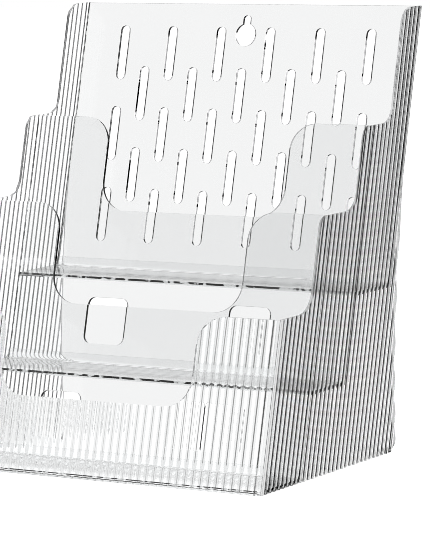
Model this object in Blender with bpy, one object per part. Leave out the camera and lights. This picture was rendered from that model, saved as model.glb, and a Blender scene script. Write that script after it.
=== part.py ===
"""Clear plastic brochure rack with three stepped pockets.

Frame: metres, +Z up, +X to the rack's right as seen from the front, -Y towards the
reader. The origin is on the table under the middle of the rack's bounding box.
Every wall leans back by LEAN. Depths along Y are counted from the foot of the front panel.
"""
import math

import bmesh
import bpy
from mathutils import Euler, Matrix, Vector

MM = 0.001

# Overall sizes
WIDTH = 228.6 * MM             # over both side panels
HEIGHT = 250.0 * MM            # table to the top of the back panel
BASE_DEPTH = 149.9 * MM        # along the foot of a side panel
LEAN = math.radians(15.0)      # of every wall, away from the reader

# Sheets and clearances
SHEET = 2.0 * MM               # thickness of walls and floors
JOINT_GAP = 0.3 * MM           # between pieces that are bonded to each other

# Pockets: depth along Y from one wall's front face to the next wall's front face
FRONT_POCKET = 42.7 * MM
MIDDLE_POCKET = 38.3 * MM
REAR_POCKET = 39.8 * MM

# Heights above the table
FRONT_EAR_Z = 91.1 * MM        # tops of the front panel's ears
MIDDLE_EAR_Z = 141.9 * MM
REAR_EAR_Z = 186.8 * MM
FRONT_CUT_Z = 42.1 * MM        # bottoms of the U cut-outs
MIDDLE_CUT_Z = 86.6 * MM
REAR_CUT_Z = 134.2 * MM
MIDDLE_FLOOR_Z = 47.8 * MM     # top faces of the raised floors
REAR_FLOOR_Z = 95.9 * MM

# U cut-outs between the ears
FRONT_CUT_WIDTH = 126.5 * MM
MIDDLE_CUT_WIDTH = 126.0 * MM
REAR_CUT_WIDTH = 122.5 * MM
EAR_RADIUS = 16.0 * MM         # on the ears
CUT_RADIUS = 17.0 * MM         # in the corners of the cut-outs

# Windows in the middle and rear tier panels
WINDOW_SIDE = 27.0 * MM
WINDOW_RADIUS = 4.5 * MM
WINDOW_SPACING = 96.0 * MM     # between the centres of one panel's two windows

# Slots and keyhole in the back panel
SLOT_LENGTH = 32.6 * MM
SLOT_WIDTH = 6.0 * MM
SLOT_PITCH = 33.5 * MM         # across the panel
SLOT_ROW_PITCH = 24.4 * MM     # down the panel, so that neighbouring rows overlap
SLOT_TOP_MARGIN = 13.7 * MM    # panel top to the tops of the first row
SLOT_FOOT_MARGIN = 14.0 * MM   # least distance from the last row to the panel's foot
SLOT_SIDE_MARGIN = 22.0 * MM   # least distance from a slot to the panel's side edges
KEYHOLE_DIAMETER = 13.4 * MM
KEYHOLE_DROP = 18.3 * MM       # panel top to the centre of the round part
KEYHOLE_NECK_WIDTH = 4.9 * MM
KEYHOLE_NECK_TOP = 11.7 * MM   # centre of the round part to the top of the neck

# Side panels: how far each step stands ahead of the wall behind it, along Y
TOP_FLANGE = 19.0 * MM
REAR_TIER_FLANGE = 9.5 * MM
MIDDLE_TIER_FLANGE = 9.0 * MM
TOP_FLANGE_RADIUS = 12.0 * MM
TIER_FLANGE_RADIUS = 8.0 * MM
REAR_STEP_RADIUS = 11.0 * MM   # inner corners above the step tops
MIDDLE_STEP_RADIUS = 12.0 * MM
FRONT_STEP_RADIUS = 15.0 * MM
BACK_EDGE_RADIUS = 600.0 * MM  # long bend from the leaning top to the upright foot
HEEL_RADIUS = 8.0 * MM

# Front panel: it wraps round the two front corners
CORNER_RADIUS = 3.5 * MM

# Flutes on the outer faces of the front and side panels, measured square to the flutes
FRONT_FLUTE_PITCH = 5.0 * MM
SIDE_FLUTE_PITCH = 4.4 * MM
FLUTE_DEPTH = 0.6 * MM
FLUTE_SEGMENTS = 3
SPARE = 1.0 * MM               # how far a cutter runs past the face that it cuts

FLOOR_COVE = 5.0 * MM          # fillet along the rear edge of each floor
COVE_TIP = 0.6 * MM            # thickness that the fillet keeps at its upper end
ARC_STEP = math.radians(18.0)  # longest turn of one straight piece of an arc
SLOT_ARC_STEP = math.radians(36.0)
BEND_ARC_STEP = math.radians(15.0)
MOST_OF_EDGE = 0.98            # of an edge's length that the arcs at its ends may take

# Worked out from the sizes above
TAN_LEAN = math.tan(LEAN)
COS_LEAN = math.cos(LEAN)
SIN_LEAN = math.sin(LEAN)
SHEET_Y = SHEET / COS_LEAN     # a leaning sheet's thickness along Y
MIDDLE_TIER_Y = FRONT_POCKET
REAR_TIER_Y = MIDDLE_TIER_Y + MIDDLE_POCKET
BACK_Y = REAR_TIER_Y + REAR_POCKET
OVERALL_DEPTH = BACK_Y + SHEET_Y + HEIGHT * TAN_LEAN
FRONT_Y = -OVERALL_DEPTH / 2.0
INNER_HALF_WIDTH = WIDTH / 2.0 - SHEET
FIT_HALF_WIDTH = INNER_HALF_WIDTH - JOINT_GAP
RETURN_END = CORNER_RADIUS     # depth of the front panel's returns, square to the panel

CLEAR = (0.93, 0.94, 0.95, 1.0)


def remove_everything():
    for obj in list(bpy.data.objects):
        bpy.data.objects.remove(obj, do_unlink=True)


def make_collection(name):
    collection = bpy.data.collections.new(name)
    bpy.context.scene.collection.children.link(collection)
    return collection


def clear_plastic(name):
    material = bpy.data.materials.new(name)
    material.use_nodes = True
    shader = material.node_tree.nodes["Principled BSDF"]
    shader.inputs["Base Color"].default_value = CLEAR
    shader.inputs["Roughness"].default_value = 0.05
    shader.inputs["Metallic"].default_value = 0.0
    shader.inputs["Transmission Weight"].default_value = 1.0
    material.diffuse_color = (0.8, 0.85, 0.9, 0.4)
    return material


# Outlines

def arc_points(centre, radius, start, end, step=ARC_STEP):
    """Points of an arc from the angle start to the angle end, both ends included."""
    count = max(1, math.ceil(abs(end - start) / step - 1e-6))
    angles = [start + (end - start) * i / count for i in range(count + 1)]
    return [centre + radius * Vector((math.cos(a), math.sin(a))) for a in angles]


def corner_frame(corners, i):
    """A corner, the directions to its neighbours, and half the angle between them."""
    corner = Vector(corners[i][:2])
    before = Vector(corners[i - 1][:2]) - corner
    after = Vector(corners[(i + 1) % len(corners)][:2]) - corner
    return corner, before.normalized(), after.normalized(), before.angle(after) / 2.0


def fitted_radii(corners):
    """The corners' radii, reduced where two neighbouring arcs would meet on their edge."""
    count = len(corners)
    runs = [corners[i][2] / math.tan(corner_frame(corners, i)[3]) for i in range(count)]
    shares = [1.0] * count
    for i in range(count):
        j = (i + 1) % count
        edge = (Vector(corners[j][:2]) - Vector(corners[i][:2])).length
        share = edge * MOST_OF_EDGE / max(runs[i] + runs[j], edge * MOST_OF_EDGE)
        shares[i] = min(shares[i], share)
        shares[j] = min(shares[j], share)
    return [corners[i][2] * shares[i] for i in range(count)]


def rounded_outline(corners, step=ARC_STEP):
    """Closed outline through (x, y, radius) corners, each rounded by its radius."""
    points = []
    for i, radius in enumerate(fitted_radii(corners)):
        corner, before, after, half = corner_frame(corners, i)
        if radius == 0.0:
            points.append(corner)
            continue
        centre = corner + (before + after).normalized() * radius / math.sin(half)
        entry = corner + before * radius / math.tan(half) - centre
        leave = corner + after * radius / math.tan(half) - centre
        start = math.atan2(entry.y, entry.x)
        turn = (math.atan2(leave.y, leave.x) - start + math.pi) % (2.0 * math.pi) - math.pi
        points += arc_points(centre, radius, start, start + turn, step)
    return points


def slot_outline(x, top, width, length):
    """Upright round-ended slot whose highest point is at top."""
    half = width / 2.0
    upper = arc_points(Vector((x, top - half)), half, 0.0, math.pi, SLOT_ARC_STEP)
    lower = arc_points(Vector((x, top - length + half)), half, math.pi, 2.0 * math.pi,
                       SLOT_ARC_STEP)
    return upper + lower


def keyhole_outline(centre_height):
    """Round hole with a narrow round-ended neck above it."""
    radius = KEYHOLE_DIAMETER / 2.0
    neck = KEYHOLE_NECK_WIDTH / 2.0
    mouth = math.acos(neck / radius)
    centre = Vector((0.0, centre_height))
    neck_centre = centre + Vector((0.0, KEYHOLE_NECK_TOP - neck))
    hole = arc_points(centre, radius, math.pi - mouth, 2.0 * math.pi + mouth)
    return hole + arc_points(neck_centre, neck, 0.0, math.pi, SLOT_ARC_STEP)


def window_outline(x, height):
    half = WINDOW_SIDE / 2.0
    corners = [(x - half, height - half), (x + half, height - half),
               (x + half, height + half), (x - half, height + half)]
    return rounded_outline([(u, v, WINDOW_RADIUS) for u, v in corners])


def along_wall(z, behind=0.0):
    """Distance up a leaning wall to the height z, on a face `behind` its front face."""
    return (z + behind * SIN_LEAN) / COS_LEAN


def wall_outline(foot_z, ear_z, cut_z, cut_width):
    """A tier panel: two ears with a U cut-out between them, mirrored about X = 0."""
    foot = along_wall(foot_z, SHEET)
    ear = along_wall(ear_z)
    cut = along_wall(cut_z)
    half = cut_width / 2.0
    right = [(FIT_HALF_WIDTH, foot, 0.0), (FIT_HALF_WIDTH, ear, 0.0),
             (half, ear, EAR_RADIUS), (half, cut, CUT_RADIUS)]
    left = [(-x, v, radius) for x, v, radius in reversed(right)]
    return rounded_outline(right + left)


def side_outline():
    """A side panel seen along X, as (Y, Z) corners with their radii."""
    def wall_y(depth, z):
        return FRONT_Y + depth + z * TAN_LEAN

    front = (RETURN_END + JOINT_GAP) / COS_LEAN
    middle = MIDDLE_TIER_Y - MIDDLE_TIER_FLANGE
    rear = REAR_TIER_Y - REAR_TIER_FLANGE
    top = BACK_Y - TOP_FLANGE
    back = BACK_Y + SHEET_Y
    heel_y = FRONT_Y + BASE_DEPTH
    bend_z = (heel_y - wall_y(back, 0.0)) / TAN_LEAN
    return rounded_outline([
        (wall_y(front, 0.0), 0.0, 0.0),
        (heel_y, 0.0, HEEL_RADIUS),
        (heel_y, bend_z, BACK_EDGE_RADIUS),
        (wall_y(back, HEIGHT), HEIGHT, 0.0),
        (wall_y(top, HEIGHT), HEIGHT, TOP_FLANGE_RADIUS),
        (wall_y(top, REAR_EAR_Z), REAR_EAR_Z, REAR_STEP_RADIUS),
        (wall_y(rear, REAR_EAR_Z), REAR_EAR_Z, TIER_FLANGE_RADIUS),
        (wall_y(rear, MIDDLE_EAR_Z), MIDDLE_EAR_Z, MIDDLE_STEP_RADIUS),
        (wall_y(middle, MIDDLE_EAR_Z), MIDDLE_EAR_Z, TIER_FLANGE_RADIUS),
        (wall_y(middle, FRONT_EAR_Z), FRONT_EAR_Z, FRONT_STEP_RADIUS),
        (wall_y(front, FRONT_EAR_Z), FRONT_EAR_Z, 0.0),
    ], BEND_ARC_STEP)


def flute_line(start, end, wanted_pitch):
    """Points of a row of convex flutes from start to end: (distance, depth below crest).
    The pitch is adjusted a little so that whole flutes fill the row."""
    count = round((end - start) / wanted_pitch)
    pitch = (end - start) / count
    points = []
    for i in range(count * FLUTE_SEGMENTS + 1):
        phase = (i % FLUTE_SEGMENTS) / FLUTE_SEGMENTS
        swell = math.sin(math.pi * phase)
        crest = math.sin(math.pi * (FLUTE_SEGMENTS // 2) / FLUTE_SEGMENTS)
        depth = FLUTE_DEPTH * (1.0 - swell / crest)
        points.append((start + pitch * i / FLUTE_SEGMENTS, depth))
    return points


def front_section():
    """The front panel cut square to its flutes, as (X, depth behind the front face)."""
    half = WIDTH / 2.0
    bend = half - CORNER_RADIUS
    inner = CORNER_RADIUS - SHEET
    first = bend - FRONT_FLUTE_PITCH / 4.0
    flutes = [Vector((x, depth)) for x, depth in flute_line(-first, first, FRONT_FLUTE_PITCH)]
    right_outer = arc_points(Vector((bend, CORNER_RADIUS)), CORNER_RADIUS,
                             -math.pi / 2.0, 0.0)
    right_inner = arc_points(Vector((bend, CORNER_RADIUS)), inner, 0.0, -math.pi / 2.0)
    left_inner = [Vector((-p.x, p.y)) for p in reversed(right_inner)]
    left_outer = [Vector((-p.x, p.y)) for p in reversed(right_outer)]
    return right_outer + right_inner + left_inner + left_outer + flutes


def side_section(side):
    """A fluted slab that a side panel is cut from, as (X, depth behind the front face)."""
    deepest = BASE_DEPTH * COS_LEAN + SPARE
    start = RETURN_END + JOINT_GAP
    crest = WIDTH / 2.0
    inner = INNER_HALF_WIDTH - SPARE
    outer = [Vector((side * (crest - depth), w))
             for w, depth in flute_line(start, deepest, SIDE_FLUTE_PITCH)]
    lead = [Vector((side * inner, start - SPARE)), Vector((outer[0].x, start - SPARE))]
    return lead + outer + [Vector((side * inner, deepest))]


# Objects

def curve_plate(name, outlines, thickness, matrix, collection):
    """Flat plate: the first outline with the others as holes, centred on its own plane."""
    curve = bpy.data.curves.new(name, "CURVE")
    curve.dimensions = "2D"
    curve.fill_mode = "BOTH"
    curve.extrude = thickness / 2.0
    for outline in outlines:
        spline = curve.splines.new("POLY")
        spline.points.add(len(outline) - 1)
        for point, target in zip(spline.points, outline):
            point.co = (target.x, target.y, 0.0, 1.0)
        spline.use_cyclic_u = True
    obj = bpy.data.objects.new(name, curve)
    obj.matrix_world = matrix
    collection.objects.link(obj)
    return obj


def as_mesh(curve_object, collection):
    """The same plate as a closed mesh, for pieces that are cut and for cutters."""
    bpy.context.view_layer.update()
    graph = bpy.context.evaluated_depsgraph_get()
    mesh = bpy.data.meshes.new_from_object(curve_object.evaluated_get(graph))
    shape = bmesh.new()
    shape.from_mesh(mesh)
    bmesh.ops.remove_doubles(shape, verts=shape.verts, dist=1e-6)
    bmesh.ops.recalc_face_normals(shape, faces=shape.faces)
    shape.to_mesh(mesh)
    shape.free()
    name = curve_object.name
    matrix = curve_object.matrix_world.copy()
    bpy.data.objects.remove(curve_object, do_unlink=True)
    obj = bpy.data.objects.new(name, mesh)
    obj.matrix_world = matrix
    collection.objects.link(obj)
    return obj


def hide_cutter(obj):
    obj.hide_render = True
    obj.display_type = "WIRE"


def boolean(obj, cutter, operation):
    modifier = obj.modifiers.new(cutter.name, "BOOLEAN")
    modifier.object = cutter
    modifier.operation = operation
    modifier.solver = "EXACT"


def wall_matrix(depth):
    """Places a plate drawn as (X, distance up the wall) with its front face at depth."""
    turn = Matrix.Rotation(math.pi / 2.0 - LEAN, 4, "X")
    half_sheet = Vector((0.0, COS_LEAN, -SIN_LEAN)) * SHEET / 2.0
    return Matrix.Translation(Vector((0.0, FRONT_Y + depth, 0.0)) + half_sheet) @ turn


def section_matrix(length):
    """Places a bar drawn as (X, depth behind the front face), rising along the lean."""
    rise = Vector((0.0, SIN_LEAN, COS_LEAN)) * length / 2.0
    return Matrix.Translation(Vector((0.0, FRONT_Y, 0.0)) + rise) @ Matrix.Rotation(-LEAN, 4, "X")


def profile_matrix(x):
    """Places a plate drawn as (Y, Z) with its middle plane at x."""
    turn = Euler((math.pi / 2.0, 0.0, math.pi / 2.0)).to_matrix().to_4x4()
    return Matrix.Translation(Vector((x, 0.0, 0.0))) @ turn


def make_front_panel(parts, cutters):
    """Fluted wall with rounded corners, cut level at its foot and ears."""
    reach = along_wall(FRONT_EAR_Z) + 2.0 * CORNER_RADIUS
    bar = curve_plate("front_panel", [front_section()], 2.0 * reach, section_matrix(0.0), parts)
    panel = as_mesh(bar, parts)

    bpy.ops.mesh.primitive_cube_add(size=1.0, location=(0.0, 0.0, FRONT_EAR_Z / 2.0))
    level = bpy.context.object
    level.name = "front_panel_level_cut"
    level.scale = (WIDTH + 2.0 * SPARE, 2.0 * OVERALL_DEPTH, FRONT_EAR_Z)
    for collection in level.users_collection:
        collection.objects.unlink(level)
    cutters.objects.link(level)
    hide_cutter(level)
    boolean(panel, level, "INTERSECT")

    half = FRONT_CUT_WIDTH / 2.0
    ear = along_wall(FRONT_EAR_Z)
    lip = ear + EAR_RADIUS
    wide = half + EAR_RADIUS
    cut = along_wall(FRONT_CUT_Z)
    flare = [Vector((half + EAR_RADIUS, ear)) - EAR_RADIUS * Vector((math.sin(a), 1.0 - math.cos(a)))
             for a in (math.radians(18.0 * i) for i in range(6))]
    right = flare + arc_points(Vector((half - CUT_RADIUS, cut + CUT_RADIUS)), CUT_RADIUS,
                               0.0, -math.pi / 2.0)
    left = [Vector((-p.x, p.y)) for p in reversed(right)]
    outline = [Vector((wide, lip))] + right + left + [Vector((-wide, lip))]
    cutter = as_mesh(curve_plate("front_panel_u_cut", [outline], SHEET + 4.0 * SPARE,
                                 wall_matrix(0.0), cutters), cutters)
    hide_cutter(cutter)
    boolean(panel, cutter, "DIFFERENCE")
    return panel


def make_side_panel(name, side, parts, cutters):
    """Stepped fluted side: the profile plate cut down to the fluted slab."""
    thickness = SHEET + SPARE
    middle = side * (INNER_HALF_WIDTH + thickness / 2.0)
    plate = as_mesh(curve_plate(name, [side_outline()], thickness, profile_matrix(middle), parts),
                    parts)
    reach = 2.0 * (HEIGHT / COS_LEAN + BASE_DEPTH)
    slab = as_mesh(curve_plate(name + "_flutes", [side_section(side)], reach,
                               section_matrix(0.0), cutters), cutters)
    hide_cutter(slab)
    boolean(plate, slab, "INTERSECT")
    return plate


def make_tier_panel(name, depth, foot_z, ear_z, cut_z, cut_width, window_z, parts):
    """Smooth wall with ears above and two windows below the floor behind it."""
    height = along_wall(window_z)
    windows = [window_outline(side * WINDOW_SPACING / 2.0, height) for side in (-1.0, 1.0)]
    outline = wall_outline(foot_z, ear_z, cut_z, cut_width)
    return curve_plate(name, [outline] + windows, SHEET, wall_matrix(depth), parts)


def slot_outlines(foot, top):
    """Staggered rows of slots. Rows 1, 3, 5 have an even count, which leaves the middle
    free for the keyhole, and the rows between are one slot short and half a pitch aside."""
    free_height = top - SLOT_TOP_MARGIN - foot - SLOT_FOOT_MARGIN
    rows = int((free_height - SLOT_LENGTH) / SLOT_ROW_PITCH) + 1
    free_half = FIT_HALF_WIDTH - SLOT_SIDE_MARGIN - SLOT_WIDTH / 2.0
    columns = 2 * int(free_half / SLOT_PITCH + 0.5)
    outlines = []
    for row in range(rows):
        slot_top = top - SLOT_TOP_MARGIN - row * SLOT_ROW_PITCH
        count = columns - row % 2
        for column in range(count):
            x = (column - (count - 1) / 2.0) * SLOT_PITCH
            outlines.append(slot_outline(x, slot_top, SLOT_WIDTH, SLOT_LENGTH))
    return outlines


def make_back_panel(parts):
    """Tall wall with rows of slots and a keyhole, standing behind the rear floor."""
    foot = along_wall(REAR_FLOOR_Z - SHEET, SHEET)
    top = along_wall(HEIGHT)
    outline = [Vector((-FIT_HALF_WIDTH, foot)), Vector((FIT_HALF_WIDTH, foot)),
               Vector((FIT_HALF_WIDTH, top)), Vector((-FIT_HALF_WIDTH, top))]
    holes = [keyhole_outline(top - KEYHOLE_DROP)] + slot_outlines(foot, top)
    return curve_plate("back_panel", [outline] + holes, SHEET, wall_matrix(BACK_Y), parts)


def floor_outline(front_depth, rear_depth, top_z, ahead=0.0):
    """A floor seen along X: edges that follow the leaning walls, and a fillet at the back."""
    def front_y(z):
        return FRONT_Y + front_depth + SHEET_Y + z * TAN_LEAN + JOINT_GAP - ahead

    def rear_y(z):
        return FRONT_Y + rear_depth + z * TAN_LEAN - JOINT_GAP

    bottom_z = top_z - SHEET
    tip_z = top_z + FLOOR_COVE
    return rounded_outline([
        (front_y(bottom_z), bottom_z, 0.0),
        (rear_y(bottom_z), bottom_z, 0.0),
        (rear_y(tip_z), tip_z, 0.0),
        (rear_y(tip_z) - COVE_TIP, tip_z, 0.0),
        (rear_y(top_z) - COVE_TIP, top_z, FLOOR_COVE),
        (front_y(top_z), top_z, 0.0),
    ])


def make_raised_floor(name, front_depth, rear_depth, top_z, parts):
    outline = floor_outline(front_depth, rear_depth, top_z)
    return curve_plate(name, [outline], 2.0 * FIT_HALF_WIDTH, profile_matrix(0.0), parts)


def make_front_floor(parts, cutters):
    """Lowest floor: its front corners are rounded to fit inside the front panel."""
    outline = floor_outline(0.0, MIDDLE_TIER_Y, SHEET, SPARE)
    floor = as_mesh(curve_plate("front_floor", [outline], 2.0 * (FIT_HALF_WIDTH + SPARE),
                                profile_matrix(0.0), parts), parts)
    front = SHEET + JOINT_GAP
    radius = CORNER_RADIUS - front
    rear = FRONT_POCKET + SHEET
    corners = [(FIT_HALF_WIDTH, rear, 0.0), (-FIT_HALF_WIDTH, rear, 0.0),
               (-FIT_HALF_WIDTH, front, radius), (FIT_HALF_WIDTH, front, radius)]
    inside = as_mesh(curve_plate("front_floor_inside", [rounded_outline(corners)],
                                 4.0 * FRONT_POCKET, section_matrix(0.0), cutters), cutters)
    hide_cutter(inside)
    boolean(floor, inside, "INTERSECT")
    return floor


def main():
    remove_everything()
    parts = make_collection("brochure_rack")
    cutters = make_collection("cutters")

    window_middle = (MIDDLE_FLOOR_Z + SHEET) / 2.0
    window_rear = (REAR_FLOOR_Z + MIDDLE_FLOOR_Z) / 2.0
    pieces = [
        make_front_panel(parts, cutters),
        make_side_panel("left_side_panel", -1.0, parts, cutters),
        make_side_panel("right_side_panel", 1.0, parts, cutters),
        make_tier_panel("middle_tier_panel", MIDDLE_TIER_Y, 0.0, MIDDLE_EAR_Z, MIDDLE_CUT_Z,
                        MIDDLE_CUT_WIDTH, window_middle, parts),
        make_tier_panel("rear_tier_panel", REAR_TIER_Y, MIDDLE_FLOOR_Z - SHEET, REAR_EAR_Z,
                        REAR_CUT_Z, REAR_CUT_WIDTH, window_rear, parts),
        make_back_panel(parts),
        make_front_floor(parts, cutters),
        make_raised_floor("middle_floor", MIDDLE_TIER_Y, REAR_TIER_Y, MIDDLE_FLOOR_Z, parts),
        make_raised_floor("rear_floor", REAR_TIER_Y, BACK_Y, REAR_FLOOR_Z, parts),
    ]
    for piece in pieces:
        piece.data.materials.append(clear_plastic(piece.name + "_plastic"))


main()
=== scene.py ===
import math

import bmesh
import bpy
from mathutils import Euler, Matrix, Vector


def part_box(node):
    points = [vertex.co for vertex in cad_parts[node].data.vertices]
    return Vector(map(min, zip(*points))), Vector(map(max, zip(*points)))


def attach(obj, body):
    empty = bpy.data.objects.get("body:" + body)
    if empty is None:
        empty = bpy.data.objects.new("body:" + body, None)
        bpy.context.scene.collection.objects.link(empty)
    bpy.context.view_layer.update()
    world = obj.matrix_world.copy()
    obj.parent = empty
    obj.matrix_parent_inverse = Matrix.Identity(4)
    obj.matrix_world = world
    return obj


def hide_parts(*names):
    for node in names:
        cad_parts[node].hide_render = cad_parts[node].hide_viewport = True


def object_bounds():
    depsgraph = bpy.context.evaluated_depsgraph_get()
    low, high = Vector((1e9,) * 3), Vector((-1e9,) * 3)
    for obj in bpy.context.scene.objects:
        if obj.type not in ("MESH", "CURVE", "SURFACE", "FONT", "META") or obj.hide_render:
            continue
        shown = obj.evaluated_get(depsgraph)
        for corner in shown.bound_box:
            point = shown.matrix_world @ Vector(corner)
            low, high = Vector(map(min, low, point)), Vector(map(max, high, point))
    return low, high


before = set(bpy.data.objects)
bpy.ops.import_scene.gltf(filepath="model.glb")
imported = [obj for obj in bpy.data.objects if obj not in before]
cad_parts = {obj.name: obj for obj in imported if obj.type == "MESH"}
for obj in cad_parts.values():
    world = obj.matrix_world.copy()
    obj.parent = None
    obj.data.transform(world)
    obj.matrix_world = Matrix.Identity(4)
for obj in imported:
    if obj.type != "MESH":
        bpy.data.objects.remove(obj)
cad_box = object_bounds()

MM = 0.001

# The sheets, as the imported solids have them
LEAN = math.radians(15.0)
TAN_LEAN = math.tan(LEAN)
COS_LEAN = math.cos(LEAN)
SIN_LEAN = math.sin(LEAN)
SHEET = 2.0 * MM
SHEET_Y = SHEET / COS_LEAN
CAD_GAP = 0.3 * MM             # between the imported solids
SEAM = 0.06 * MM               # between the pieces here: a bonded seam is tighter than that

# Places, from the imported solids
LOW, HIGH = cad_box
WIDTH = HIGH.x - LOW.x
HEIGHT = HIGH.z
FRONT_Y = LOW.y
MIDDLE_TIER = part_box("middle_tier_panel")
REAR_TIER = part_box("rear_tier_panel")
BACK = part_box("back_panel")
MIDDLE_FLOOR_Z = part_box("middle_floor")[0].z + SHEET
REAR_FLOOR_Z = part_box("rear_floor")[0].z + SHEET
FRONT_EAR_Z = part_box("front_panel")[1].z
MIDDLE_EAR_Z = MIDDLE_TIER[1].z
REAR_EAR_Z = REAR_TIER[1].z
INNER_HALF = WIDTH / 2.0 - SHEET
FIT_HALF = INNER_HALF - SEAM


def plane_depth(low, foot_z):
    """How far a wall's front face stands behind the front panel's, along Y."""
    return low.y - FRONT_Y - foot_z * TAN_LEAN


def front_foot_z(bottom_z):
    """Height of a wall's front lower edge, whose rear lower edge is at bottom_z."""
    return bottom_z + SHEET * SIN_LEAN


MIDDLE_TIER_Y = plane_depth(MIDDLE_TIER[0], front_foot_z(MIDDLE_TIER[0].z))
REAR_TIER_Y = plane_depth(REAR_TIER[0], front_foot_z(REAR_TIER[0].z))
BACK_Y = plane_depth(BACK[0], front_foot_z(BACK[0].z))
BASE_DEPTH = 149.9 * MM

# Cut-outs, holes and steps. A U cut-out has the height of its bottom, and its width.
CUTS = {
    "front": (42.1 * MM, 126.5 * MM),
    "middle": (86.6 * MM, 126.0 * MM),
    "rear": (134.2 * MM, 122.5 * MM),
}
EAR_RADIUS = 16.0 * MM
CUT_RADIUS = 17.0 * MM
WINDOW_SIDE = 27.0 * MM
WINDOW_RADIUS = 4.5 * MM
WINDOW_SPACING = 96.0 * MM
SLOT_LENGTH = 32.6 * MM
SLOT_WIDTH = 6.0 * MM
SLOT_PITCH = 33.5 * MM
SLOT_ROW_PITCH = 24.4 * MM
SLOT_TOP_MARGIN = 13.7 * MM
SLOT_ROWS = (6, 5, 6, 5, 6)
KEYHOLE_DIAMETER = 13.4 * MM
KEYHOLE_DROP = 18.3 * MM
KEYHOLE_NECK_WIDTH = 4.9 * MM
KEYHOLE_NECK_TOP = 11.7 * MM
TOP_FLANGE = 19.0 * MM
REAR_TIER_FLANGE = 9.5 * MM
MIDDLE_TIER_FLANGE = 9.0 * MM
TOP_FLANGE_RADIUS = 12.0 * MM
TIER_FLANGE_RADIUS = 8.0 * MM
REAR_STEP_RADIUS = 11.0 * MM
MIDDLE_STEP_RADIUS = 12.0 * MM
FRONT_STEP_RADIUS = 15.0 * MM
BACK_EDGE_RADIUS = 600.0 * MM
HEEL_RADIUS = 8.0 * MM
CORNER_RADIUS = 3.5 * MM
FLOOR_COVE = 5.0 * MM
COVE_TIP = 0.5 * MM
# Painted shade: dark strips on the floors' front edges and along the walls' upright sides stand in
# for the shade that clear edges and joints show
SHADE_STRIP_HEIGHT = 1.2 * MM         # how much of a floor's front edge the painted shade strip covers
WRAPPED_SHADE_STRIP_HEIGHT = 0.6 * MM
SHADE_STRIP_SPREAD = 0.3 * MM         # how far the painted shade strip reaches onto a wall's faces, from its side

FRONT_FLUTE_PITCH = 5.0 * MM
SIDE_FLUTE_PITCH = 4.4 * MM
FRONT_FLUTE_DEPTH = 0.6 * MM
SIDE_FLUTE_DEPTH = 0.8 * MM
FLUTE_SEGMENTS = 16
SPARE = 1.0 * MM               # how far a cutter runs past the face that it cuts
CUTTER_REACH = 200.0 * MM      # a cutter's length along the lean
ARC_STEP = math.radians(5.0)   # longest turn of one straight piece of an arc
SLOT_ARC_STEP = math.radians(15.0)
SIDE_ARC_STEP = math.radians(3.0)
SAME_PLACE = 1e-6              # points nearer to each other than this are one
EDGE_ROUND = 0.2 * MM          # radius on the edges of the smooth sheets
CREASE = math.radians(25.0)    # edges sharper than this stay crisp
MOST_OF_SQUARE = 0.999         # a face whose normal is this near to an axis is square to it
NEARLY_EDGE_ON = 0.1           # and a face whose normal has less than this of an axis is along it

pieces_collection = bpy.data.collections.new("rack_pieces")
cutter_collection = bpy.data.collections.new("rack_cutters")
bpy.context.scene.collection.children.link(pieces_collection)
bpy.context.scene.collection.children.link(cutter_collection)


# Outlines

def arc_points(centre, radius, start, end, step=ARC_STEP):
    """Points of an arc from the angle start to the angle end, both ends included."""
    count = max(1, math.ceil(abs(end - start) / step - 1e-6))
    angles = [start + (end - start) * i / count for i in range(count + 1)]
    return [centre + radius * Vector((math.cos(a), math.sin(a))) for a in angles]


def rounded_outline(corners, step=ARC_STEP):
    """Closed outline through (x, y, radius) corners, each rounded by its radius."""
    points = []
    for i, (x, y, radius) in enumerate(corners):
        corner = Vector((x, y))
        if radius == 0.0:
            points.append(corner)
            continue
        before = (Vector(corners[i - 1][:2]) - corner).normalized()
        after = (Vector(corners[(i + 1) % len(corners)][:2]) - corner).normalized()
        half = before.angle(after) / 2.0
        centre = corner + (before + after).normalized() * radius / math.sin(half)
        entry = corner + before * radius / math.tan(half) - centre
        leave = corner + after * radius / math.tan(half) - centre
        start = math.atan2(entry.y, entry.x)
        turn = (math.atan2(leave.y, leave.x) - start + math.pi) % (2.0 * math.pi) - math.pi
        points += arc_points(centre, radius, start, start + turn, step)
    return points


def slot_outline(x, top):
    """Upright round-ended slot whose highest point is at top."""
    half = SLOT_WIDTH / 2.0
    upper = arc_points(Vector((x, top - half)), half, 0.0, math.pi, SLOT_ARC_STEP)
    lower = arc_points(Vector((x, top - SLOT_LENGTH + half)), half, math.pi, 2.0 * math.pi,
                       SLOT_ARC_STEP)
    return upper + lower


def keyhole_outline(centre_height):
    """Round hole with a narrow round-ended neck above it."""
    radius = KEYHOLE_DIAMETER / 2.0
    neck = KEYHOLE_NECK_WIDTH / 2.0
    mouth = math.acos(neck / radius)
    centre = Vector((0.0, centre_height))
    neck_centre = centre + Vector((0.0, KEYHOLE_NECK_TOP - neck))
    hole = arc_points(centre, radius, math.pi - mouth, 2.0 * math.pi + mouth)
    return hole + arc_points(neck_centre, neck, 0.0, math.pi, SLOT_ARC_STEP)


def window_outline(x, height):
    half = WINDOW_SIDE / 2.0
    corners = [(x - half, height - half), (x + half, height - half),
               (x + half, height + half), (x - half, height + half)]
    return rounded_outline([(u, v, WINDOW_RADIUS) for u, v in corners])


def along_wall(z, behind=0.0):
    """Distance up a leaning wall to the height z, on a face `behind` its front face."""
    return (z + behind * SIN_LEAN) / COS_LEAN


def wall_outline(foot_z, ear_z, cut_z, cut_width):
    """A tier panel: two ears with a U cut-out between them, mirrored about X = 0."""
    foot = along_wall(foot_z, SHEET)
    ear = along_wall(ear_z)
    cut = along_wall(cut_z)
    half = cut_width / 2.0
    right = [(FIT_HALF, foot, 0.0), (FIT_HALF, ear, 0.0),
             (half, ear, EAR_RADIUS), (half, cut, CUT_RADIUS)]
    left = [(-x, v, radius) for x, v, radius in reversed(right)]
    return rounded_outline(right + left)


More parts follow.
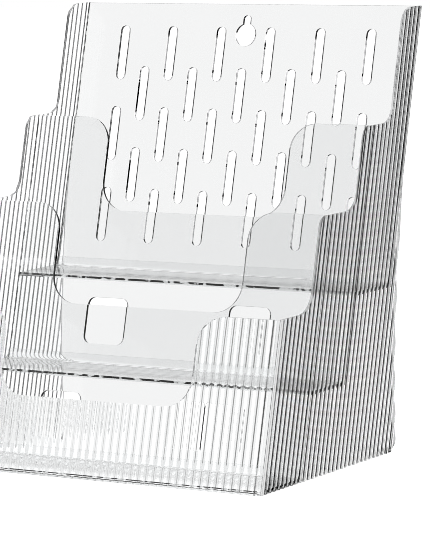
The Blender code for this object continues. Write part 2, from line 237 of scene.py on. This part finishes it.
def side_outline():
    """A side panel seen along X, as (Y, Z) corners with their radii."""
    def wall_y(depth, z):
        return FRONT_Y + depth + z * TAN_LEAN

    front = (CORNER_RADIUS + SEAM) / COS_LEAN
    middle = MIDDLE_TIER_Y - MIDDLE_TIER_FLANGE
    rear = REAR_TIER_Y - REAR_TIER_FLANGE
    top = BACK_Y - TOP_FLANGE
    back = BACK_Y + SHEET_Y
    heel_y = FRONT_Y + BASE_DEPTH
    bend_z = (heel_y - wall_y(back, 0.0)) / TAN_LEAN
    return rounded_outline([
        (wall_y(front, 0.0), 0.0, 0.0),
        (heel_y, 0.0, HEEL_RADIUS),
        (heel_y, bend_z, BACK_EDGE_RADIUS),
        (wall_y(back, HEIGHT), HEIGHT, 0.0),
        (wall_y(top, HEIGHT), HEIGHT, TOP_FLANGE_RADIUS),
        (wall_y(top, REAR_EAR_Z), REAR_EAR_Z, REAR_STEP_RADIUS),
        (wall_y(rear, REAR_EAR_Z), REAR_EAR_Z, TIER_FLANGE_RADIUS),
        (wall_y(rear, MIDDLE_EAR_Z), MIDDLE_EAR_Z, MIDDLE_STEP_RADIUS),
        (wall_y(middle, MIDDLE_EAR_Z), MIDDLE_EAR_Z, TIER_FLANGE_RADIUS),
        (wall_y(middle, FRONT_EAR_Z), FRONT_EAR_Z, FRONT_STEP_RADIUS),
        (wall_y(front, FRONT_EAR_Z), FRONT_EAR_Z, 0.0),
    ], SIDE_ARC_STEP)


def flute_line(start, end, wanted_pitch, depth):
    """Rounded flutes as (place, depth) points, with a valley at each end of the line."""
    count = round((end - start) / wanted_pitch)
    pitch = (end - start) / count
    points = []
    for i in range(count * FLUTE_SEGMENTS + 1):
        wave = math.cos(2.0 * math.pi * i / FLUTE_SEGMENTS)
        points.append((start + pitch * i / FLUTE_SEGMENTS, depth * (1.0 + wave) / 2.0))
    return points


def front_section():
    """The front panel cut square to its flutes, as (X, depth behind the front face)."""
    half = WIDTH / 2.0
    bend = half - CORNER_RADIUS
    inner = CORNER_RADIUS - SHEET
    first = bend - FRONT_FLUTE_PITCH / 4.0
    flutes = [Vector((x, depth)) for x, depth in
              flute_line(-first, first, FRONT_FLUTE_PITCH, FRONT_FLUTE_DEPTH)]
    right_outer = arc_points(Vector((bend, CORNER_RADIUS)), CORNER_RADIUS, -math.pi / 2.0, 0.0)
    right_inner = arc_points(Vector((bend, CORNER_RADIUS)), inner, 0.0, -math.pi / 2.0)
    left_inner = [Vector((-p.x, p.y)) for p in reversed(right_inner)]
    left_outer = [Vector((-p.x, p.y)) for p in reversed(right_outer)]
    return right_outer + right_inner + left_inner + left_outer + flutes


def side_section(side):
    """A fluted slab that a side panel is cut from, as (X, depth behind the front face)."""
    deepest = BASE_DEPTH * COS_LEAN + SPARE
    start = CORNER_RADIUS + CAD_GAP
    crest = WIDTH / 2.0
    inner = INNER_HALF - SPARE
    outer = [Vector((side * (crest - depth), w))
             for w, depth in flute_line(start, deepest, SIDE_FLUTE_PITCH, SIDE_FLUTE_DEPTH)]
    lead = [Vector((side * inner, start - SPARE)), Vector((outer[0].x, start - SPARE))]
    return lead + outer + [Vector((side * inner, deepest))]


# Objects

def curve_plate(name, outlines, thickness, matrix, collection, edge=0.0):
    """A plate through the outlines, its edges rounded by the radius in edge."""
    curve = bpy.data.curves.new(name, "CURVE")
    curve.dimensions = "2D"
    curve.fill_mode = "BOTH"
    curve.extrude = thickness / 2.0 - edge
    curve.bevel_depth = edge
    curve.bevel_resolution = 2
    curve.offset = -edge
    for outline in outlines:
        spline = curve.splines.new("POLY")
        spline.points.add(len(outline) - 1)
        for point, target in zip(spline.points, outline):
            point.co = (target.x, target.y, 0.0, 1.0)
        spline.use_cyclic_u = True
    obj = bpy.data.objects.new(name, curve)
    obj.matrix_world = matrix
    collection.objects.link(obj)
    bpy.context.view_layer.update()
    graph = bpy.context.evaluated_depsgraph_get()
    mesh = bpy.data.meshes.new_from_object(obj.evaluated_get(graph))
    shape = bmesh.new()
    shape.from_mesh(mesh)
    bmesh.ops.remove_doubles(shape, verts=shape.verts, dist=SAME_PLACE)
    bmesh.ops.recalc_face_normals(shape, faces=shape.faces)
    shape.to_mesh(mesh)
    shape.free()
    bpy.data.objects.remove(obj, do_unlink=True)
    obj = bpy.data.objects.new(name, mesh)
    obj.matrix_world = matrix
    collection.objects.link(obj)
    return obj


def boolean(obj, cutter, operation):
    modifier = obj.modifiers.new(cutter.name, "BOOLEAN")
    modifier.object = cutter
    modifier.operation = operation
    modifier.solver = "EXACT"


def bake(obj):
    """Applies the modifiers, so that the piece is a plain mesh."""
    bpy.context.view_layer.update()
    graph = bpy.context.evaluated_depsgraph_get()
    mesh = bpy.data.meshes.new_from_object(obj.evaluated_get(graph))
    obj.modifiers.clear()
    obj.data = mesh
    mesh.transform(obj.matrix_world)
    obj.matrix_world = Matrix.Identity(4)
    return obj


def smooth(obj):
    obj.data.shade_smooth()
    obj.data.set_sharp_from_angle(angle=CREASE)
    return obj


def wall_matrix(depth):
    """Places a plate drawn as (X, distance up the wall) with its front face at depth."""
    turn = Matrix.Rotation(math.pi / 2.0 - LEAN, 4, "X")
    half_sheet = Vector((0.0, COS_LEAN, -SIN_LEAN)) * SHEET / 2.0
    return Matrix.Translation(Vector((0.0, FRONT_Y + depth, 0.0)) + half_sheet) @ turn


def section_matrix():
    """Places a bar drawn as (X, depth behind the front face), rising along the lean."""
    return Matrix.Translation(Vector((0.0, FRONT_Y, 0.0))) @ Matrix.Rotation(-LEAN, 4, "X")


def profile_matrix(x):
    """Places a plate drawn as (Y, Z) with its middle plane at x."""
    turn = Euler((math.pi / 2.0, 0.0, math.pi / 2.0)).to_matrix().to_4x4()
    return Matrix.Translation(Vector((x, 0.0, 0.0))) @ turn


def split_plane(piece, point, normal):
    """Cuts every face of a piece along a plane, so that a strip of it can be marked."""
    shape = bmesh.new()
    shape.from_mesh(piece.data)
    everything = shape.verts[:] + shape.edges[:] + shape.faces[:]
    bmesh.ops.bisect_plane(shape, geom=everything, plane_co=point, plane_no=normal)
    shape.to_mesh(piece.data)
    shape.free()


def mark_faces(piece, plain, marked, chosen):
    """Gives a piece the plain material, and the faces for which chosen(face) holds the other."""
    piece.data.materials.append(plain)
    piece.data.materials.append(marked)
    for face in piece.data.polygons:
        if chosen(face):
            face.material_index = 1


def rounded_plate(name, outlines, matrix):
    """A smooth sheet: flat faces, softened edges, and painted shade along its two upright sides."""
    plate = curve_plate(name, outlines, SHEET, matrix, pieces_collection, EDGE_ROUND)
    bake(plate)
    square = matrix.to_3x3() @ Vector((0.0, 0.0, 1.0))
    for face in plate.data.polygons:
        face.use_smooth = abs(face.normal.dot(square)) < MOST_OF_SQUARE
    # painted shade: the faces near both upright sides get the dark strip material, where the joints
    # look dark
    shade_x = FIT_HALF - SHADE_STRIP_SPREAD
    for x in (-shade_x, shade_x):
        split_plane(plate, (x, 0.0, 0.0), (1.0, 0.0, 0.0))
    mark_faces(plate, sheet_plastic, edge_shade, lambda face: abs(face.center.x) > shade_x)
    return plate


def make_front_panel():
    """Fluted wall with rounded corners, cut level at its foot and ears."""
    cut_z, cut_width = CUTS["front"]
    reach = along_wall(FRONT_EAR_Z) + 2.0 * CORNER_RADIUS
    panel = curve_plate("fluted_front", [front_section()], 2.0 * reach, section_matrix(),
                        pieces_collection)
    bpy.ops.mesh.primitive_cube_add(size=1.0, location=(0.0, 0.0, FRONT_EAR_Z / 2.0))
    level = bpy.context.object
    level.scale = (WIDTH + 2.0 * SPARE, 1.0, FRONT_EAR_Z)
    boolean(panel, level, "INTERSECT")
    half = cut_width / 2.0
    ear = along_wall(FRONT_EAR_Z)
    lip = ear + EAR_RADIUS
    cut = along_wall(cut_z)
    flare = arc_points(Vector((half + EAR_RADIUS, ear - EAR_RADIUS)), EAR_RADIUS,
                       math.pi / 2.0, math.pi)
    right = flare + arc_points(Vector((half - CUT_RADIUS, cut + CUT_RADIUS)), CUT_RADIUS,
                               0.0, -math.pi / 2.0)
    left = [Vector((-p.x, p.y)) for p in reversed(right)]
    outline = [Vector((right[0].x, lip))] + right + left + [Vector((-right[0].x, lip))]
    cutter = curve_plate("front_cutter", [outline], SHEET + 4.0 * SPARE, wall_matrix(0.0),
                         cutter_collection)
    boolean(panel, cutter, "DIFFERENCE")
    bake(panel)
    bpy.data.objects.remove(level)
    bpy.data.objects.remove(cutter)
    return smooth(panel)


def make_side_panel(name, side):
    """Stepped fluted side: the profile plate cut down to the fluted slab."""
    thickness = SHEET + SPARE
    middle = side * (INNER_HALF + thickness / 2.0)
    panel = curve_plate(name, [side_outline()], thickness, profile_matrix(middle),
                        pieces_collection)
    reach = 2.0 * (HEIGHT / COS_LEAN + BASE_DEPTH)
    slab = curve_plate(name + "_flutes", [side_section(side)], reach, section_matrix(),
                       cutter_collection)
    boolean(panel, slab, "INTERSECT")
    bake(panel)
    bpy.data.objects.remove(slab)
    # painted shade: the faces along the cut edges get a darker colour, for the dark look of clear
    # edges
    mark_faces(panel, fluted_plastic, rim_shade, lambda face: abs(face.normal.x) < NEARLY_EDGE_ON)
    return smooth(panel)


def make_tier_panel(name, depth, foot_z, ear_z, cut, window_z):
    """Smooth wall with ears above and two windows below the floor behind it."""
    height = along_wall(window_z)
    windows = [window_outline(side * WINDOW_SPACING / 2.0, height) for side in (-1.0, 1.0)]
    outline = wall_outline(foot_z, ear_z, *CUTS[cut])
    return rounded_plate(name, [outline] + windows, wall_matrix(depth))


def make_back_panel():
    """Tall wall with rows of slots and a keyhole, standing behind the rear floor."""
    foot = along_wall(REAR_FLOOR_Z - SHEET, SHEET)
    top = along_wall(HEIGHT)
    outline = [Vector((-FIT_HALF, foot)), Vector((FIT_HALF, foot)),
               Vector((FIT_HALF, top)), Vector((-FIT_HALF, top))]
    holes = [keyhole_outline(top - KEYHOLE_DROP)]
    for row, count in enumerate(SLOT_ROWS):
        slot_top = top - SLOT_TOP_MARGIN - row * SLOT_ROW_PITCH
        for column in range(count):
            holes.append(slot_outline((column - (count - 1) / 2.0) * SLOT_PITCH, slot_top))
    return rounded_plate("slotted_back", [outline] + holes, wall_matrix(BACK_Y))


def floor_outline(front_depth, rear_depth, top_z, ahead=0.0):
    """A floor seen along X: edges that follow the leaning walls, and a fillet at the back."""
    def front_y(z):
        return FRONT_Y + front_depth + SHEET_Y + z * TAN_LEAN + SEAM - ahead

    def rear_y(z):
        return FRONT_Y + rear_depth + z * TAN_LEAN - SEAM

    bottom_z = top_z - SHEET
    tip_z = top_z + FLOOR_COVE
    return rounded_outline([
        (front_y(bottom_z), bottom_z, 0.0),
        (rear_y(bottom_z), bottom_z, 0.0),
        (rear_y(tip_z), tip_z, 0.0),
        (rear_y(tip_z) - COVE_TIP, tip_z, 0.0),
        (rear_y(top_z) - COVE_TIP, top_z, FLOOR_COVE),
        (front_y(top_z), top_z, 0.0),
    ])


def make_floor(name, front_depth, rear_depth, top_z, wrapped=False):
    """A floor with painted shade along its front edge. A wrapped one fits inside the front panel.
    """
    ahead = SPARE if wrapped else 0.0
    half = FIT_HALF + ahead
    floor = curve_plate(name, [floor_outline(front_depth, rear_depth, top_z, ahead)], 2.0 * half,
                        profile_matrix(0.0), pieces_collection)
    if wrapped:
        front = SHEET + SEAM
        radius = CORNER_RADIUS - front
        rear = rear_depth + SHEET
        corners = [(FIT_HALF, rear, 0.0), (-FIT_HALF, rear, 0.0),
                   (-FIT_HALF, front, radius), (FIT_HALF, front, radius)]
        inside = curve_plate("floor_cutter", [rounded_outline(corners)], CUTTER_REACH,
                             section_matrix(), cutter_collection)
        boolean(floor, inside, "INTERSECT")
        bake(floor)
        bpy.data.objects.remove(inside)
    else:
        bake(floor)
    # painted shade: a dark strip at the top of the front edge, where the clear edge and joint look
    # dark
    shade_z = top_z - (WRAPPED_SHADE_STRIP_HEIGHT if wrapped else SHADE_STRIP_HEIGHT)
    split_plane(floor, (0.0, 0.0, shade_z), (0.0, 0.0, 1.0))
    forward = Vector((0.0, -COS_LEAN, SIN_LEAN))
    mark_faces(floor, sheet_plastic, edge_shade,
               lambda face: (face.normal.dot(forward) > MOST_OF_SQUARE
                             and shade_z < face.center.z < top_z))
    return smooth(floor)


# The studio: (bearing in degrees, light), where 0 is straight behind the rack, 90 its right.
# Soft boxes stand all round, with darker gaps that draw the edges. The brightest is on the left.
SOFT_BOXES = (
    (-179.0, 0.9),
    (-158.0, 0.5),
    (-146.0, 0.3),
    (-120.0, 0.9),
    (-112.0, 0.8),
    (-78.0, 0.8),
    (-66.0, 1.2),
    (-48.0, 1.4),
    (-41.0, 1.3),
    (-36.0, 1.01),
    (-28.0, 1.01),
    (-20.0, 1.03),
    (-14.0, 0.5),
    (-8.0, 0.95),
    (4.0, 1.0),
    (13.0, 0.25),
    (30.0, 0.25),
    (38.0, 1.0),
    (52.0, 1.0),
    (60.0, 0.25),
    (76.0, 0.25),
    (83.0, 0.9),
    (98.0, 0.9),
    (108.0, 0.3),
    (118.0, 0.9),
    (150.0, 0.9),
    (158.0, 0.4),
    (168.0, 0.9),
    (179.0, 0.9),
)
# A black flag hangs behind the rack on the right, (bearing, light), leaning as the walls do;
# a gap straight behind the rack leaves the view from the front clear
FLAG = (
    (-179.0, 1.0),
    (-21.0, 1.0),
    (-16.0, 0.0),
    (-10.0, 0.0),
    (-7.0, 1.0),
    (6.0, 1.0),
    (9.0, 0.0),
    (88.0, 0.0),
    (100.0, 1.0),
    (179.0, 1.0),
)
# (slope along the walls, how much of the flag is seen)
FLAG_BAND = (
    (-1.0, 0.0),
    (0.0, 0.0),
    (0.03, 1.0),
    (0.19, 1.0),
    (0.24, 0.0),
    (1.0, 0.0),
)
# (direction's height, light): a little less from straight below and straight above
HEIGHTS = (
    (-1.0, 0.9),
    (-0.5, 1.0),
    (0.6, 1.0),
    (0.8, 0.5),
    (1.0, 0.5),
)

# Materials

PLASTIC_IOR = 1.49
RIPPLE_HEIGHT = 0.01 * MM
GRAIN_HEIGHT = 0.0006 * MM
LIGHT_TO_DEEP_GLOSS = (0.4, 1.6)    # the roughness wanders between these shares of itself


def blend(nodes, links, mode, factor, first, second):
    """A colour mix; factor and second may be a socket or a plain value."""
    mix = nodes.new("ShaderNodeMix")
    mix.data_type = "RGBA"
    mix.blend_type = mode
    for name, source in (("Factor", factor), ("A", first), ("B", second)):
        if isinstance(source, bpy.types.NodeSocket):
            links.new(source, mix.inputs[name])
        else:
            mix.inputs[name].default_value = source
    return mix.outputs["Result"]


def noise(nodes, links, scale, detail):
    """The level of a noise texture that is fixed to the object."""
    coordinates = nodes.new("ShaderNodeTexCoord")
    texture = nodes.new("ShaderNodeTexNoise")
    texture.inputs["Scale"].default_value = scale
    texture.inputs["Detail"].default_value = detail
    links.new(coordinates.outputs["Object"], texture.inputs["Vector"])
    return texture.outputs["Fac"]


def clear_plastic(name, first, second, patches, roughness):
    """Clear plastic: two tints in patches, uneven gloss, a slow ripple and a fine grain.
    The patches are a noise scale and the noise levels where the one tint turns into the other."""
    material = bpy.data.materials.new(name)
    material.use_nodes = True
    nodes = material.node_tree.nodes
    links = material.node_tree.links
    shader = nodes["Principled BSDF"]
    shader.inputs["IOR"].default_value = PLASTIC_IOR
    shader.inputs["Transmission Weight"].default_value = 1.0

    scale, lowest, highest = patches
    spread = nodes.new("ShaderNodeMapRange")
    spread.inputs["From Min"].default_value = lowest
    spread.inputs["From Max"].default_value = highest
    links.new(noise(nodes, links, scale, 2.0), spread.inputs["Value"])
    colour = blend(nodes, links, "MIX", spread.outputs["Result"], first, second)
    links.new(colour, shader.inputs["Base Color"])

    gloss = nodes.new("ShaderNodeMapRange")
    gloss.inputs["To Min"].default_value = roughness * LIGHT_TO_DEEP_GLOSS[0]
    gloss.inputs["To Max"].default_value = roughness * LIGHT_TO_DEEP_GLOSS[1]
    links.new(noise(nodes, links, 90.0, 4.0), gloss.inputs["Value"])
    links.new(gloss.outputs["Result"], shader.inputs["Roughness"])

    ripple = nodes.new("ShaderNodeBump")
    ripple.inputs["Strength"].default_value = 1.0
    ripple.inputs["Distance"].default_value = RIPPLE_HEIGHT
    links.new(noise(nodes, links, 30.0, 1.0), ripple.inputs["Height"])
    grain = nodes.new("ShaderNodeBump")
    grain.inputs["Strength"].default_value = 1.0
    grain.inputs["Distance"].default_value = GRAIN_HEIGHT
    links.new(noise(nodes, links, 900.0, 3.0), grain.inputs["Height"])
    links.new(ripple.outputs["Normal"], grain.inputs["Normal"])
    links.new(grain.outputs["Normal"], shader.inputs["Normal"])
    return material


def build():
    """Every piece, by the node of the record that it stands for."""
    window_middle = (MIDDLE_FLOOR_Z + SHEET) / 2.0
    window_rear = (REAR_FLOOR_Z + MIDDLE_FLOOR_Z) / 2.0
    return {
        "front_panel": make_front_panel(),
        "left_side_panel": make_side_panel("fluted_left_side", -1.0),
        "right_side_panel": make_side_panel("fluted_right_side", 1.0),
        "middle_tier_panel": make_tier_panel("middle_tier", MIDDLE_TIER_Y, 0.0, MIDDLE_EAR_Z,
                                             "middle", window_middle),
        "rear_tier_panel": make_tier_panel("rear_tier", REAR_TIER_Y, MIDDLE_FLOOR_Z - SHEET,
                                           REAR_EAR_Z, "rear", window_rear),
        "back_panel": make_back_panel(),
        "front_floor": make_floor("lowest_floor", 0.0, MIDDLE_TIER_Y, SHEET, True),
        "middle_floor": make_floor("middle_shelf", MIDDLE_TIER_Y, REAR_TIER_Y, MIDDLE_FLOOR_Z),
        "rear_floor": make_floor("rear_shelf", REAR_TIER_Y, BACK_Y, REAR_FLOOR_Z),
    }


FLUTED = ("front_panel", "left_side_panel", "right_side_panel")
sheet_plastic = clear_plastic("clear_sheet_plastic", (0.937, 0.942, 0.944, 1.0),
                              (0.947, 0.951, 0.952, 1.0), (18.0, 0.3, 0.7), 0.01)
fluted_plastic = clear_plastic("clear_fluted_plastic", (0.985, 0.99, 0.992, 1.0),
                               (0.995, 0.998, 0.998, 1.0), (18.0, 0.3, 0.7), 0.007)
# painted shade: this darker grey on the side panels' cut edges stands in for the darkness that
# clear edges show in light
rim_shade = clear_plastic("painted_shade_on_rims", (0.3, 0.305, 0.305, 1.0),
                            (0.55, 0.555, 0.555, 1.0), (60.0, 0.4, 0.6), 0.05)
# painted shade: this colour, black and pale in small patches, darkens the floors' front edges and
# the walls' sides where clear edges and joints look dark
edge_shade = clear_plastic("painted_shade_on_edges", (0.0, 0.0, 0.0, 1.0),
                             (0.7, 0.71, 0.71, 1.0), (240.0, 0.53, 0.58), 0.2)
for node, piece in build().items():
    if not piece.data.materials:
        piece.data.materials.append(fluted_plastic if node in FLUTED else sheet_plastic)
    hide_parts(node)
    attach(piece, "root")


# Camera, floor and studio

CAMERA_AZIMUTH = math.radians(31.79)    # to the rack's right of its middle
CAMERA_ELEVATION = math.radians(7.27)
CAMERA_ROLL = math.radians(-1.27)
CAMERA_DISTANCE = 1.97412
CAMERA_LENS = 294.7                     # for a sensor 36 mm wide
TARGET_DEPTH = 74.93 * MM               # behind the foot of the front panel
TARGET_Z = 150.0 * MM
SHIFT_RIGHT = 37.24 * MM
SHIFT_DOWN = 41.98 * MM
FLOOR_SIZE = 8.0
FLOOR_DROP = 0.2 * MM                   # keeps the floor off the rack's underside
FLOOR_GREY = (0.25, 0.25, 0.25, 1.0)
FLOOR_ROUGHNESS = 0.9
FLOOR_GLOW = 0.95
WHITE = (1.0, 1.0, 1.0, 1.0)

def look_from(azimuth, elevation, roll):
    """Camera axes: right, up and back, for a camera at an azimuth and elevation."""
    back = Vector((math.sin(azimuth) * math.cos(elevation),
                   -math.cos(azimuth) * math.cos(elevation), math.sin(elevation)))
    level_right = Vector((math.cos(azimuth), math.sin(azimuth), 0.0))
    level_up = back.cross(level_right)
    right = math.cos(roll) * level_right + math.sin(roll) * level_up
    return right, back.cross(right), back


def add_camera():
    right, up, back = look_from(CAMERA_AZIMUTH, CAMERA_ELEVATION, CAMERA_ROLL)
    middle = Vector((0.0, FRONT_Y + TARGET_DEPTH, TARGET_Z))
    target = middle + right * SHIFT_RIGHT - up * SHIFT_DOWN
    data = bpy.data.cameras.new("camera")
    data.sensor_fit = "HORIZONTAL"
    data.sensor_width = 36.0
    data.lens = CAMERA_LENS
    data.clip_start = 0.05
    data.clip_end = 50.0
    camera = bpy.data.objects.new("camera", data)
    turn = Matrix((right, up, back)).transposed().to_4x4()
    camera.matrix_world = Matrix.Translation(target + back * CAMERA_DISTANCE) @ turn
    bpy.context.scene.collection.objects.link(camera)
    bpy.context.scene.camera = camera


def add_floor():
    """A plain pale floor. The plastic doesn't see it, and refracts the studio instead."""
    bpy.ops.mesh.primitive_plane_add(size=FLOOR_SIZE, location=(0.0, 0.0, -FLOOR_DROP))
    floor = bpy.context.object
    floor.name = "floor"
    material = bpy.data.materials.new("pale_floor")
    material.use_nodes = True
    shader = material.node_tree.nodes["Principled BSDF"]
    shader.inputs["Base Color"].default_value = FLOOR_GREY
    shader.inputs["Roughness"].default_value = FLOOR_ROUGHNESS
    shader.inputs["Emission Color"].default_value = WHITE
    shader.inputs["Emission Strength"].default_value = FLOOR_GLOW
    floor.data.materials.append(material)
    floor.visible_transmission = False
    floor.visible_glossy = False


def level_ramp(nodes, links, source, reach, levels):
    """Grey levels read off a value that runs from -reach to reach."""
    spread = nodes.new("ShaderNodeMapRange")
    spread.inputs["From Min"].default_value = -reach
    spread.inputs["From Max"].default_value = reach
    links.new(source, spread.inputs["Value"])
    ramp = nodes.new("ShaderNodeValToRGB")
    links.new(spread.outputs["Result"], ramp.inputs["Fac"])
    stops = ramp.color_ramp.elements
    stops.remove(stops[0])
    for position, level in levels:
        stop = stops.new((position + reach) / (2.0 * reach))
        stop.color = (level, level, level, 1.0)
    stops.remove(stops[-1])
    return ramp.outputs["Color"]


def add_world():
    """Soft boxes all round and a black flag; the camera itself sees plain white behind."""
    world = bpy.data.worlds.new("studio")
    bpy.context.scene.world = world
    world.use_nodes = True
    nodes = world.node_tree.nodes
    links = world.node_tree.links
    coordinates = nodes.new("ShaderNodeTexCoord")
    split = nodes.new("ShaderNodeSeparateXYZ")
    links.new(coordinates.outputs["Generated"], split.inputs["Vector"])
    bearing = nodes.new("ShaderNodeMath")
    bearing.operation = "ARCTAN2"
    links.new(split.outputs["X"], bearing.inputs[0])
    links.new(split.outputs["Y"], bearing.inputs[1])
    slope = nodes.new("ShaderNodeVectorMath")
    slope.operation = "DOT_PRODUCT"
    slope.inputs[1].default_value = (0.0, SIN_LEAN, COS_LEAN)
    links.new(coordinates.outputs["Generated"], slope.inputs[0])

    boxes = level_ramp(nodes, links, bearing.outputs["Value"], math.pi,
                       [(math.radians(degrees), level) for degrees, level in SOFT_BOXES])
    flag = level_ramp(nodes, links, bearing.outputs["Value"], math.pi,
                      [(math.radians(degrees), level) for degrees, level in FLAG])
    band = level_ramp(nodes, links, slope.outputs["Value"], 1.0, FLAG_BAND)
    upward = level_ramp(nodes, links, split.outputs["Z"], 1.0, HEIGHTS)
    room = blend(nodes, links, "MULTIPLY", 1.0, boxes, upward)
    room = blend(nodes, links, "MULTIPLY", band, room, flag)
    path = nodes.new("ShaderNodeLightPath")
    light = blend(nodes, links, "MIX", path.outputs["Is Camera Ray"], room, WHITE)
    links.new(light, nodes["Background"].inputs["Color"])


add_camera()
add_floor()
add_world()
scene = bpy.context.scene
scene.view_settings.view_transform = "Standard"
scene.cycles.max_bounces = 32
scene.cycles.transmission_bounces = 32
scene.cycles.glossy_bounces = 12
scene.cycles.filter_width = 0.85
